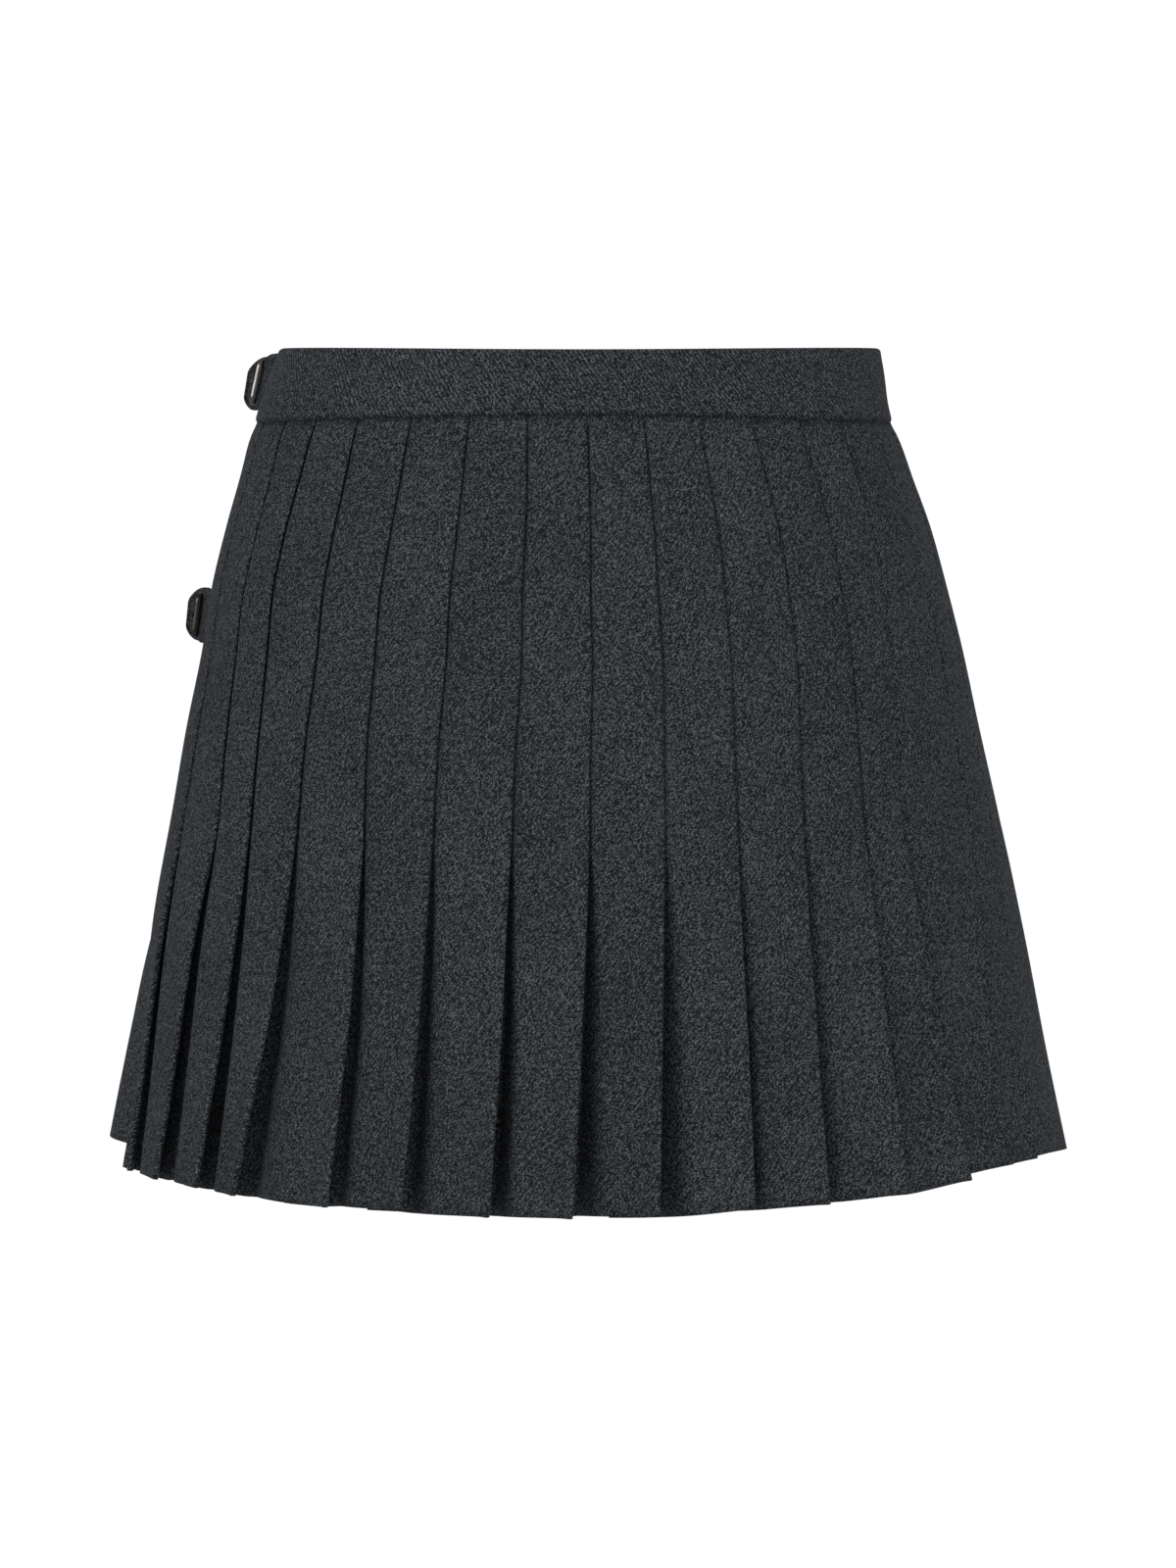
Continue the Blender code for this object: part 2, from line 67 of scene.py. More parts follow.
# The level outline, row by row: depth, half width, reach behind, reach in front, middle x.
SECTIONS = np.array((
    (0.000, 0.1286, 0.0914, 0.0894, -0.0009),
    (0.030, 0.1364, 0.0965, 0.0944, -0.0037),
    (0.054, 0.1432, 0.1012, 0.0981, -0.0028),
    (0.078, 0.1510, 0.1065, 0.1032, -0.0018),
    (0.106, 0.1584, 0.1117, 0.1078, -0.0013),
    (0.132, 0.1638, 0.1156, 0.1109, 0.0000),
    (0.166, 0.1711, 0.1209, 0.1156, 0.0002),
    (0.210, 0.1803, 0.1277, 0.1219, 0.0013),
    (0.256, 0.1899, 0.1334, 0.1286, 0.0013),
    (0.307, 0.1998, 0.1400, 0.1360, 0.0017),
    (0.359, 0.2110, 0.1464, 0.1439, 0.0027),
))

# Turn, and depth of the pleats' hem there.
HEM_DEPTHS = np.array((
    (-1.00, 0.3531), (-0.78, 0.3567), (-0.60, 0.3583), (-0.45, 0.3598), (-0.25, 0.3601),
    (0.00, 0.3607), (0.12, 0.3608), (0.25, 0.3581), (0.42, 0.3563), (0.50, 0.3548),
    (0.58, 0.3520), (0.68, 0.3500), (0.80, 0.3497), (0.95, 0.3525), (1.12, 0.3515),
))

# Depths for the next two tables and for the pleats' edges.
EDGE_DEPTHS = (0.031, 0.080, 0.130, 0.170, 0.213, 0.241, 0.282, 0.322, 0.358)
# How far a pleat's return reaches back, as a share of the way to the edge before it.
UNDERLAPS = (0.80, 0.80, 0.78, 0.75, 0.72, 0.68, 0.63, 0.58, 0.55)
# Turn of the pleated back's free edge.
FREE_EDGE = (-0.990, -0.990, -0.990, -0.990, -0.990, -0.950, -0.880, -0.832, -0.822)
# How far the front panel swells out beside the free edge, at depths of its own.
SWELL_DEPTHS = (0.050, 0.120, 0.200, 0.241, 0.282, 0.322, 0.358)
SWELLS = (0.0, 0.0030, 0.0045, 0.0078, 0.0078, 0.0074, 0.0074)

# One row per pleat: its edge's turn at the edge depths, how far it stands out at the hem, hem drop.
PLEATS = (
    ((-0.866, -0.864, -0.861, -0.851, -0.850, -0.841, -0.823, -0.802, -0.787), 0.0025, 0.0000),
    ((-0.747, -0.750, -0.750, -0.731, -0.716, -0.717, -0.713, -0.708, -0.704), 0.0040, -0.0004),
    ((-0.634, -0.656, -0.654, -0.638, -0.628, -0.617, -0.610, -0.609, -0.609), 0.0045, -0.0008),
    ((-0.511, -0.524, -0.527, -0.526, -0.522, -0.517, -0.517, -0.526, -0.533), 0.0062, -0.0004),
    ((-0.374, -0.390, -0.400, -0.397, -0.388, -0.380, -0.373, -0.375, -0.377), 0.0072, -0.0004),
    ((-0.236, -0.248, -0.257, -0.261, -0.263, -0.260, -0.259, -0.261, -0.264), 0.0080, -0.0008),
    ((-0.103, -0.107, -0.114, -0.121, -0.127, -0.128, -0.129, -0.133, -0.138), 0.0080, 0.0004),
    ((0.031, 0.024, 0.018, 0.012, 0.005, 0.002, -0.006, -0.014, -0.022), 0.0080, 0.0002),
    ((0.158, 0.153, 0.149, 0.143, 0.132, 0.126, 0.118, 0.110, 0.102), 0.0070, -0.0006),
    ((0.281, 0.286, 0.280, 0.271, 0.260, 0.256, 0.251, 0.245, 0.239), 0.0060, 0.0000),
    ((0.408, 0.418, 0.413, 0.397, 0.380, 0.372, 0.365, 0.357, 0.349), 0.0070, 0.0008),
    ((0.536, 0.541, 0.533, 0.518, 0.499, 0.491, 0.486, 0.481, 0.475), 0.0080, 0.0005),
    ((0.660, 0.655, 0.636, 0.606, 0.583, 0.582, 0.584, 0.586, 0.589), 0.0080, 0.0016),
    ((0.786, 0.792, 0.790, 0.780, 0.764, 0.741, 0.714, 0.697, 0.690), 0.0050, 0.0000),
    ((0.905, 0.900, 0.890, 0.878, 0.856, 0.831, 0.804, 0.784, 0.765), 0.0030, 0.0005),
    ((1.015, 1.012, 1.008, 1.000, 0.985, 0.965, 0.940, 0.920, 0.905), 0.0020, 0.0000),
)

# Rows along a strap: forward of the left side, how far out, lean of its face per metre down.
STRAP_ROWS = np.array((
    (-0.0019, 0.0019, 0.310), (0.0010, 0.0036, 0.290), (0.0050, 0.0054, 0.260),
    (0.0110, 0.0061, 0.230), (0.0180, 0.0063, 0.215), (0.0225, 0.0083, 0.205),
    (0.0260, 0.0107, 0.190), (0.0285, 0.0128, 0.180), (0.0300, 0.0141, 0.170),
    (0.0307, 0.0146, 0.160),
))
STRAP_HALF = 0.0120
STRAP_TIP = 0.0310
STRAP_ROUND_FROM = 0.0215
STRAP_FINE_FROM = 0.0240
STRAP_THICK = 0.0022
# One row per strap: name, depth of its middle, drop toward its tip, share of the lean, extra reach.
STRAPS = (
    ("upper", 0.0145, 0.0016, 1.00, 0.0000),
    ("lower", 0.1186, 0.0000, 0.62, 0.0004),
)
FRAME_HALF = 0.0100
FRAME_NEAR = 0.0060
FRAME_FAR = 0.0186
FRAME_OUT = 0.0091
FRAME_BAR = 0.0028
FRAME_CORNER = 0.0022
FRAME_FRONT = 0.0014
FRAME_BEHIND = 0.0008
FRAME_BEVEL = 0.0003
FRAME_LEAN = 0.22

# The weave: metres of cloth to a turn, how far each pleat's cloth starts past that of the one
# before it, and how far a strap's cloth is moved so the seam's painted shade line misses it.
FRONT_WEAVE = 0.186
BAND_WEAVE = 0.172
PLEAT_WEAVE = 0.094
STRAP_WEAVE = 0.05

# The studio: name, place, size and watts of each lamp, and the floor.
LAMPS = (
    ("left_light", (-1.75, -1.55, 0.80), 1.3, 23.0),
    ("right_light", (1.65, -1.70, 0.65), 1.5, 20.4),
)
LIT_HEIGHT = -0.20
CAMERA_PLACE = (0.0026, -2.0, -0.0325)
CAMERA_TILT = 4.5955
CAMERA_LENS = 103.57
FLOOR_HALF = 1.2
FLOOR_HEIGHT = -0.95


# ---------------------------------------------------------------- curves and places
def blend(share):
    """Smooth step: 3 s^2 - 2 s^3, with s held between 0 and 1."""
    held = np.clip(share, 0.0, 1.0)
    return held * held * (3.0 - 2.0 * held)


def curve(stops, values, where):
    """Cubic Hermite curve through the values at the stops, held at both ends."""
    stops = np.asarray(stops, dtype=float)
    values = np.asarray(values, dtype=float)
    where = np.clip(np.asarray(where, dtype=float), stops[0], stops[-1])
    slopes = np.gradient(values, stops)
    row = np.clip(np.searchsorted(stops, where, side="right") - 1, 0, len(stops) - 2)
    span = stops[row + 1] - stops[row]
    t = (where - stops[row]) / span
    start = (1.0 + 2.0 * t) * (1.0 - t) ** 2 * values[row] + t * (1.0 - t) ** 2 * span * slopes[row]
    stop = t * t * (3.0 - 2.0 * t) * values[row + 1] + t * t * (t - 1.0) * span * slopes[row + 1]
    return start + stop


def sections_at(depth):
    return [curve(SECTIONS[:, 0], SECTIONS[:, column], depth) for column in (1, 2, 3, 4)]


def angle_table():
    """Angle from the middle of the back to the side against the share of the run to it."""
    angles = np.linspace(0.0, math.pi / 2.0, 241)
    speed = np.hypot(np.cos(angles), ROUNDNESS * np.sin(angles))
    run = np.concatenate(([0.0], np.cumsum((speed[1:] + speed[:-1]) / 2.0)))
    return angles, run / run[-1]


ANGLES, ANGLE_SHARES = angle_table()


def quarter_run(depth):
    """Length of the level outline from the middle of the back to the side."""
    half, back, _, _ = sections_at(depth)
    angles = np.linspace(0.0, math.pi / 2.0, 91)
    speed = np.hypot(np.multiply.outer(half, np.cos(angles)), np.multiply.outer(back, np.sin(angles)))
    return (speed[..., 1:] + speed[..., :-1]).sum(-1) / 2.0 * (angles[1] - angles[0])


def wrapped(turn):
    return (np.asarray(turn, dtype=float) + 2.0) % 4.0 - 2.0


def place(turn, out, depth):
    """Points at turns and depths, moved out square to the level outline there.

    x = middle + side * (half sin a + out * reach sin a / size),
    y = facing * (reach cos a + out * half cos a / size), size = hypot(reach sin a, half cos a).
    """
    turn, out, depth = np.broadcast_arrays(wrapped(turn), out, depth)
    half, back, front, middle = sections_at(depth)
    behind = np.abs(turn) <= 1.0
    side = np.where(turn < 0.0, -1.0, 1.0)
    angle = np.interp(np.where(behind, np.abs(turn), 2.0 - np.abs(turn)), ANGLE_SHARES, ANGLES)
    reach = np.where(behind, back, front)
    facing = np.where(behind, -1.0, 1.0)
    size = np.hypot(reach * np.sin(angle), half * np.cos(angle))
    x = middle + side * np.sin(angle) * (half + out * reach / size)
    y = facing * np.cos(angle) * (reach + out * half / size)
    return x, y


def seam_depth(turn):
    return SEAM_BACK + (SEAM_SIDE - SEAM_BACK) * blend(np.abs(wrapped(turn)))


def top_depth(turn):
    return TOP_DIP_BACK + (TOP_DIP_SIDE - TOP_DIP_BACK) * blend(np.abs(wrapped(turn)))


def ripple(a, b, seed, size):
    """Uneven soft waves: six products of sines with fixed random pitches and phases, about +-1."""
    draws = np.random.default_rng(seed)
    total = 0.0
    for step in range(6):
        pitch_a, pitch_b = draws.uniform(0.5, 1.6, 2) * size
        phase_a, phase_b = draws.uniform(0.0, 2.0 * math.pi, 2)
        total = total + np.sin(a * pitch_a + phase_a) * np.sin(b * pitch_b + phase_b)
    return total / 2.4


# ---------------------------------------------------------------- meshes
def new_piece(name, points, faces, material, seam_uv=None, smooth=True):
    """A mesh from an array of points and one of faces, with an optional uv for each face corner."""
    mesh = bpy.data.meshes.new(name)
    mesh.from_pydata(np.asarray(points).reshape(-1, 3).tolist(), [], np.asarray(faces).tolist())
    mesh.polygons.foreach_set("use_smooth", np.full(len(mesh.polygons), smooth))
    if seam_uv is not None:
        layer = mesh.uv_layers.new(name="cloth")
        layer.data.foreach_set("uv", np.asarray(seam_uv, dtype=np.float32).ravel())
    mesh.materials.append(material)
    piece = bpy.data.objects.new(name, mesh)
    bpy.context.collection.objects.link(piece)
    return piece


def grid_quads(rows, columns):
    """Corner numbers of a grid's quads, turning so that they face out for columns that run round."""
    row, column = np.meshgrid(np.arange(rows - 1), np.arange(columns - 1), indexing="ij")
    first = row * columns + column
    return np.stack((first, first + columns, first + columns + 1, first + 1), -1).reshape(-1, 4)


def rim_loop(rows, columns):
    """Corner numbers once round the grid's edge, starting along its first row."""
    return np.concatenate((
        np.arange(columns - 1),
        np.arange(rows - 1) * columns + columns - 1,
        (rows - 1) * columns + np.arange(columns - 1, 0, -1),
        np.arange(rows - 1, 0, -1) * columns,
    ))


def cloth_shell(name, outer, inner, across, down, material, bases=None):
    """Closed thin shell between two grids of points; across and down are metres in the cloth.

    The uv is (across, -down). bases, one for each row and strip between columns, is added to
    across so that the weave runs true from each pleat's edge.
    """
    rows, columns, _ = outer.shape
    count = rows * columns
    quads = grid_quads(rows, columns)
    rim = rim_loop(rows, columns)
    ahead = np.roll(rim, -1)
    edge = np.stack((rim, ahead, ahead + count, rim + count), -1)
    faces = np.concatenate((quads, quads[:, ::-1] + count, edge))
    corner = faces % count
    u = across.reshape(-1)[corner]
    if bases is not None:
        strip = np.tile(np.arange(len(quads)) % (columns - 1), 2)
        u[:2 * len(quads)] += bases[corner[:2 * len(quads)] // columns, strip[:, None]]
    uv = np.stack((u, -down.reshape(-1)[corner]), -1)
    points = np.concatenate((outer.reshape(-1, 3), inner.reshape(-1, 3)))
    return new_piece(name, points, faces, material, uv)


def shifted(path, distance):
    """Rows of a path in (along, out) moved sideways by a distance.

    An end moves square to its step. A corner moves by distance * (a + b) / (1 + a . b), where a
    and b are the sideways directions of the steps that meet there.
    """
    steps = np.diff(path, axis=1)
    steps = steps / np.linalg.norm(steps, axis=-1, keepdims=True)
    sides = np.stack((-steps[..., 1], steps[..., 0]), -1)
    moved = np.empty_like(path)
    ends = np.broadcast_to(distance, (len(path), 1, 1))[:, 0]
    moved[:, 0] = path[:, 0] + sides[:, 0] * ends
    moved[:, -1] = path[:, -1] + sides[:, -1] * ends
    both = sides[:, :-1] + sides[:, 1:]
    turn = 1.0 + (sides[:, :-1] * sides[:, 1:]).sum(-1, keepdims=True)
    moved[:, 1:-1] = path[:, 1:-1] + both * distance / turn
    return moved


# ---------------------------------------------------------------- pleated back
PLEAT_ROWS = 84
SHOULDER_POINTS = 10
CLIMB_POINTS = 7
FOLD_POINTS = 6
RETURN_POINTS = 6
INNER_POINTS = 4
BOTTOM_POINTS = 3
# How far short of the join the last panel's slope ends, and how far short of it the cloth ends.
JOIN_RUN = 0.0040
JOIN_GAP = 0.0003
# Share of a layer's height that is left in the band, how much comes back below it, and how much
# more where the pleats open. The thickness of the shell goes by its square.
PRESSED_TOP = 0.12
PRESSED_SEWN = 0.50
PRESSED_OPEN = 0.38
# Shares of the way down where each of those two rises ends or starts.
TOP_EASE = 0.03
OPEN_FROM = 0.42
OPEN_OVER = 0.18
# How far the pressed cloth stands off the band's middle where the pleats are sewn.
STAND_OFF = 0.0011
STAND_OFF_EASE = 0.05

# One row per pleat edge: how far past it the next panel rises, over what width, from how deep.
GAPS = (
    (0.0006, 0.0090, 0.0024), (0.0008, 0.0130, 0.0042), (0.0010, 0.0098, 0.0050),
    (0.0016, 0.0260, 0.0064), (0.0008, 0.0170, 0.0044), (0.0008, 0.0190, 0.0058),
    (0.0008, 0.0120, 0.0085), (0.0020, 0.0170, 0.0100), (0.0015, 0.0210, 0.0100),
    (0.0004, 0.0060, 0.0055), (0.0010, 0.0090, 0.0070), (0.0006, 0.0060, 0.0035),
    (0.0010, 0.0070, 0.0045), (0.0010, 0.0060, 0.0040), (0.0005, 0.0050, 0.0030),
    (0.0005, 0.0050, 0.0015),
)
# At the hem: how far the edges lie back toward the left, and how far they wave.
EDGE_SHIFT = 0.0004
EDGE_WAVE = 0.00035
# How much lower the hem hangs for each metre that it lies further in than the sag line, and how
# far out of a sewn fold's face that line is.
HEM_SAG = 0.16
SAG_LINE = 0.006
# How far the first panel stands out at the free edge's hem, and a sewn panel's bulge.
FREE_STAND = 0.0040
PANEL_BULGE = 0.00035
# At the hem: the share of a pleat's own stand-out that the foot of its climb has, how much thicker
# its layers lie, and the share of the gap's depth that its inner fold sinks.
FOOT_SHARE = 0.12
LAYER_GROWTH = 0.10
SINK_SHARE = 0.35


def opening(depth):
    """How far the pleats have opened: 0 down to the release, rising as share^0.6 to 1 at the hem."""
    return np.clip((depth - RELEASE) / (HEM_BACK - RELEASE), 0.0, 1.0) ** 0.6


def height_on(face, along):
    """How far out a panel's face lies at an along, row by row, between its points."""
    points = np.stack(face, 1)
    return np.array([np.interp(where, row[:, 0], row[:, 1]) for where, row in zip(along, points)])


def pleat_lines(depth):
    """Middle line of the pleated cloth in each row, as (along, out).

    It comes with each row's quarter run, each point's drop and pleat, and the edges' columns.

    Sewn down, a panel starts at the edge before it and rises in a smooth step, over the first half
    of its shoulder, to the height of its climb. Opened, it starts deep behind that edge and rises
    by 1 - (1 - s)^1.9, where s is the shoulder's share to the power 1.3. It climbs by q^1.6 to its
    own edge, where a half round fold turns it. The return then runs down to a half round inner
    fold, and the bottom layer comes forward from there to the start of the next panel.
    """
    quarter = quarter_run(depth)
    mid = LOW + STEP
    high = LOW + 2.0 * STEP
    open_share = opening(depth)
    underlap = curve(EDGE_DEPTHS, UNDERLAPS, depth)
    before = curve(EDGE_DEPTHS, FREE_EDGE, depth) * quarter
    before_out = LOW + FREE_STAND * open_share
    foot, foot_out, sweep, mix = before, before_out, 0.0 * depth, 0.0 * depth
    lines, drops, owner, edge_columns = [], [], [], []

    def put(along, out, drop, pleat):
        lines.append(np.stack(np.broadcast_arrays(along, out, depth)[:2], -1))
        drops.append(drop)
        owner.append(pleat)

    for pleat, (turns, stand, drop) in enumerate(PLEATS):
        edge = curve(EDGE_DEPTHS, turns, depth) * quarter
        waver = np.sin(depth * (31.0 + 7.0 * math.sin(2.3 * pleat)) + 1.7 * pleat)
        edge = edge + open_share * (EDGE_WAVE * waver - EDGE_SHIFT)
        lift = stand * open_share * (1.0 + 0.06 * np.sin(depth * 47.0 + 2.1 * pleat))
        core, wide, dive = GAPS[pleat]
        sink = SINK_SHARE * open_share * min(dive, GAPS[pleat - 1][2] if pleat else 0.0)
        under = edge - underlap * (edge - before)
        top = high + FOOT_SHARE * lift
        layer = STEP * (1.0 + LAYER_GROWTH * open_share)
        back_out = high + lift - layer
        fold = (high + lift - back_out) / 2.0
        for share in np.linspace(0.0, 1.0, SHOULDER_POINTS):
            sewn_along = before + share * (under - before)
            sewn_out = before_out + (top - before_out) * blend(share / 0.5)
            reach = share ** 1.3
            open_along = foot + sweep * reach
            open_out = foot_out + (top - foot_out) * (1.0 - (1.0 - reach) ** 1.9)
            put(sewn_along + (open_along - sewn_along) * mix,
                sewn_out + (open_out - sewn_out) * mix, drop, pleat)
        shoulder = under + (foot + sweep - under) * mix
        for share in np.arange(1, CLIMB_POINTS + 1) / CLIMB_POINTS:
            put(shoulder + share * (edge - fold - shoulder),
                top + (high + lift - top) * share ** 1.6
                + PANEL_BULGE * (1.0 - open_share) * math.sin(math.pi * share), drop, pleat)
        edge_columns.append(len(lines) + FOLD_POINTS // 2)
        for share in (np.arange(FOLD_POINTS) + 1.0) / (FOLD_POINTS + 1.0):
            angle = math.pi * share
            put(edge - fold + fold * math.sin(angle), back_out + fold + fold * math.cos(angle),
                drop * (1.0 - 0.3 * share), pleat)
        turn_back = under + STEP / 2.0
        face = lines[-SHOULDER_POINTS - CLIMB_POINTS - FOLD_POINTS:-FOLD_POINTS]
        turned = np.minimum(mid - sink, height_on(face, turn_back) - layer)
        for share in np.linspace(0.0, 1.0, RETURN_POINTS):
            along = edge - fold + (turn_back - edge + fold) * share
            straight = back_out + (turned - back_out) * share
            put(along, np.minimum(straight, height_on(face, along) - layer),
                drop * (0.7 - 0.6 * share), pleat)
        for share in (np.arange(INNER_POINTS) + 1.0) / (INNER_POINTS + 1.0):
            angle = math.pi * share
            put(turn_back - STEP / 2.0 * math.sin(angle),
                turned + STEP / 2.0 * (math.cos(angle) - 1.0), 0.0, pleat)
        mix = open_share ** 0.5
        foot = edge + core * open_share
        foot_out = LOW - dive * open_share
        sweep = wide * (0.25 + 0.75 * open_share)
        bottom_along = edge + (foot - edge) * mix
        bottom_out = LOW + (foot_out - LOW) * mix
        for share in np.arange(BOTTOM_POINTS) / BOTTOM_POINTS:
            put(turn_back + (bottom_along - turn_back) * share,
                turned - STEP + (bottom_out - turned + STEP) * share, 0.0, pleat)
        before = edge
        before_out = np.full_like(depth, LOW)
    end = JOIN_TURN * quarter - JOIN_GAP
    last = len(PLEATS)
    for share in (0.0, 0.25, 0.5, 0.75):
        start = edge + (foot - edge) * mix
        put(start + (end - JOIN_RUN - start) * share,
            bottom_out + (BAND_CENTRE - bottom_out) * blend(share), 0.0, last)
    put(end - JOIN_RUN, BAND_CENTRE, 0.0, last)
    put(end, BAND_CENTRE, 0.0, last)
    edge_columns.append(len(lines) - 1)
    path = np.stack(lines, 1)
    sag = HEM_SAG * np.clip(high + SAG_LINE - path[..., 1], 0.0, None)
    return quarter, path, np.array(drops)[None, :] + sag, np.array(owner), edge_columns


def pleated_cloth(material):
    """The pleated back: rows run round it at a share of the way from inside the band to the hem.

    A row's line is pressed toward the band's middle: out = middle + eased + press * (out - middle).
    The shell then lies half a cloth's thickness times press squared to each side of the line.
    """
    share = np.linspace(0.0, 1.0, PLEAT_ROWS)
    ring = SEAM_SIDE + (LAST_RING - SEAM_SIDE) * share
    quarter, path, drops, owner, edge_columns = pleat_lines(ring)
    lengths = np.linalg.norm(np.diff(path, axis=1), axis=-1)
    across = np.concatenate((np.zeros((len(ring), 1)), np.cumsum(lengths, axis=1)), axis=1)
    bases = (PLEAT_WEAVE * owner[:-1])[None, :] - across[:, np.array(edge_columns)[owner[:-1]]]
    opened = blend((share - OPEN_FROM) / OPEN_OVER)
    press = (PRESSED_TOP + PRESSED_SEWN * blend(share / TOP_EASE) + PRESSED_OPEN * opened)[:, None]
    eased = (STAND_OFF * blend(share / STAND_OFF_EASE) * (1.0 - opened))[:, None]
    path = np.stack((path[..., 0], BAND_CENTRE + eased + (path[..., 1] - BAND_CENTRE) * press), -1)
    grids = []
    for distance in (CLOTH / 2.0, -CLOTH / 2.0):
        line = shifted(path, distance * press[..., None] ** 2)
        turn = line[..., 0] / quarter[:, None]
        top = seam_depth(turn) - TUCK
        depth = top + (curve(HEM_DEPTHS[:, 0], HEM_DEPTHS[:, 1], turn) - top) * share[:, None]
        x, y = place(turn, line[..., 1], depth)
        drop = depth + drops * share[:, None] ** 3
        grids.append(np.stack((x, y, -drop), -1))
    down = depth - seam_depth(turn)
    return cloth_shell("pleated_cloth", grids[0], grids[1], across, down, material, bases)


# ---------------------------------------------------------------- front and waistband
FRONT_SIZE = (260, 84)
BAND_COLUMNS = 520
# The band slips inward round the front, so that its end passes under its start. The front panel
# slips a little more, and goes further in below the free edge, where the pleats open.
BAND_SLIP = 0.0040
FRONT_SLIP = 0.0004
SLIP_FROM = 1.3
SLIP_OVER = 1.4
UNDERLAP_SINK = 0.0062
FOLD_HEIGHT = 0.0042
WAVE_HEIGHT = 0.0007
# The band's rounded edges at its top and its seam, as shares of its height, and its bulge.
BAND_TOP_EDGE = 0.045
BAND_SEAM_EDGE = 0.085
BAND_BULGE = 0.10
BAND_WAVE = 0.00022


def slipped(turn):
    """Share of the slip at a turn: a smooth step."""
    return blend((np.asarray(turn, dtype=float) - SLIP_FROM) / SLIP_OVER)


def band_middle(turn):
    """How far out the band's middle lies."""
    return BAND_CENTRE - BAND_SLIP * slipped(turn)


def front_cloth(material):
    """The plain front panel: the level outline with soft uneven folds that grow toward the hem.

    out = the band's middle - slip + swell + folds - inward. The folds are two sines of the turn
    times share^1.5, with uneven waves over them, and both fade at the join and at the free edge.
    """
    columns, rows = FRONT_SIZE
    turn, share = np.meshgrid(
        np.linspace(JOIN_TURN, UNDER_END_TURN, columns), np.linspace(0.0, 1.0, rows))
    top = seam_depth(turn) - TUCK
    depth = top + (HEM_FRONT - top) * share
    free = curve(EDGE_DEPTHS, FREE_EDGE, depth) + 4.0
    away = blend((free - 0.012 - turn) / 0.15)
    swell = np.interp(depth, SWELL_DEPTHS, SWELLS) * away * blend((turn - 2.25) / 0.55)
    clear = blend((turn - 1.20) / 0.25) * blend((free - 0.05 - turn) / 0.20)
    folds = FOLD_HEIGHT * clear * share ** 1.5 * (
        np.sin(9.5 * turn + 1.1 + 0.9 * share) + 0.6 * np.sin(17.0 * turn + 0.3 - 1.4 * share))
    folds = folds + WAVE_HEIGHT * clear * ripple(turn * 3.0, depth * 24.0, 11, 2.2) * blend(share * 4.0)
    inward = UNDERLAP_SINK * opening(depth) * blend((turn - free) / 0.055)
    middle = band_middle(turn) - FRONT_SLIP * slipped(turn) + swell + folds - inward
    grids = []
    for distance in (CLOTH / 2.0, -CLOTH / 2.0):
        x, y = place(turn, middle + distance, depth)
        grids.append(np.stack((x, y, -depth), -1))
    down = depth - seam_depth(turn)
    return cloth_shell("front_cloth", grids[0], grids[1], turn * FRONT_WEAVE, down, material)


def band_section():
    """Shares down the band, and how far its outer and inner walls lie from its middle there.

    Both walls are in shares of half the thickness: sqrt(1 - (1 - e)^2), where e is the way in from
    the nearer rounded edge, held at 1. The outer wall bulges by a sine of the share down.
    """
    down = np.concatenate(
        (np.linspace(0.0, 0.06, 5), np.linspace(0.1, 0.9, 15), np.linspace(0.925, 1.0, 7)))
    edge = np.minimum(down / BAND_TOP_EDGE, (1.0 - down) / BAND_SEAM_EDGE)
    half = np.sqrt(np.clip(1.0 - (1.0 - np.clip(edge, 0.0, 1.0)) ** 2, 0.02, 1.0))
    return down, half * (1.0 + BAND_BULGE * np.sin(math.pi * down)), half


def waistband_cloth(material):
    """The straight band: two walls that round into each other at the top and the seam."""
    down, outer_half, inner_half = band_section()
    turn, share = np.meshgrid(np.linspace(BAND_FREE_TURN, UNDER_END_TURN, BAND_COLUMNS), down)
    height = seam_depth(turn) - top_depth(turn)
    depth = top_depth(turn) + height * share
    wave = BAND_WAVE * ripple(turn * 4.0, share * 2.0, 5, 2.6) * np.sin(math.pi * share)
    middle = band_middle(turn)
    grids = []
    for side, halves in ((1.0, outer_half), (-1.0, inner_half)):
        x, y = place(turn, middle + side * halves[:, None] * BAND_THICK / 2.0 + wave, depth)
        grids.append(np.stack((x, y, -depth), -1))
    down = depth - seam_depth(turn)
    return cloth_shell("waistband_cloth", grids[0], grids[1], turn * BAND_WEAVE, down, material)


# ---------------------------------------------------------------- straps and their metal
SLOPE_STEP = 0.0002
STRAP_RIM = 0.00060
STRAP_GROOVE = 0.00085


def strap_points(strap, forward, across, move):
    """Points on a strap: forward along it, across it from -1 to 1, moved out from its middle.

    Its width follows half * (1 - r^2.8)^(1 / 2.8), where r is the way along the rounded tip.
    """
    _, depth, tip_drop, lean_share, reach = strap
    forward, across, move = np.broadcast_arrays(forward, across, move)
    out = curve(STRAP_ROWS[:, 0], STRAP_ROWS[:, 1], forward)
    ahead = curve(STRAP_ROWS[:, 0], STRAP_ROWS[:, 1], forward + SLOPE_STEP)
    behind = curve(STRAP_ROWS[:, 0], STRAP_ROWS[:, 1], forward - SLOPE_STEP)
    slope = (ahead - behind) / (2.0 * SLOPE_STEP)
    size = np.hypot(slope, 1.0)
    lean = curve(STRAP_ROWS[:, 0], STRAP_ROWS[:, 2], forward) * lean_share
    round_share = np.clip((forward - STRAP_ROUND_FROM) / (STRAP_TIP - STRAP_ROUND_FROM), 0.0, 1.0)
    half = STRAP_HALF * (1.0 - round_share ** 2.8) ** (1.0 / 2.8)
    drop = tip_drop * np.maximum(forward, 0.0) / STRAP_ROWS[-1, 0] + across * half
    middle_half, _, _, middle = sections_at(depth)
    x = float(middle - middle_half) - (out + reach + move / size) - lean * drop
    return np.stack((x, forward - move * slope / size, -(depth + drop)), -1)


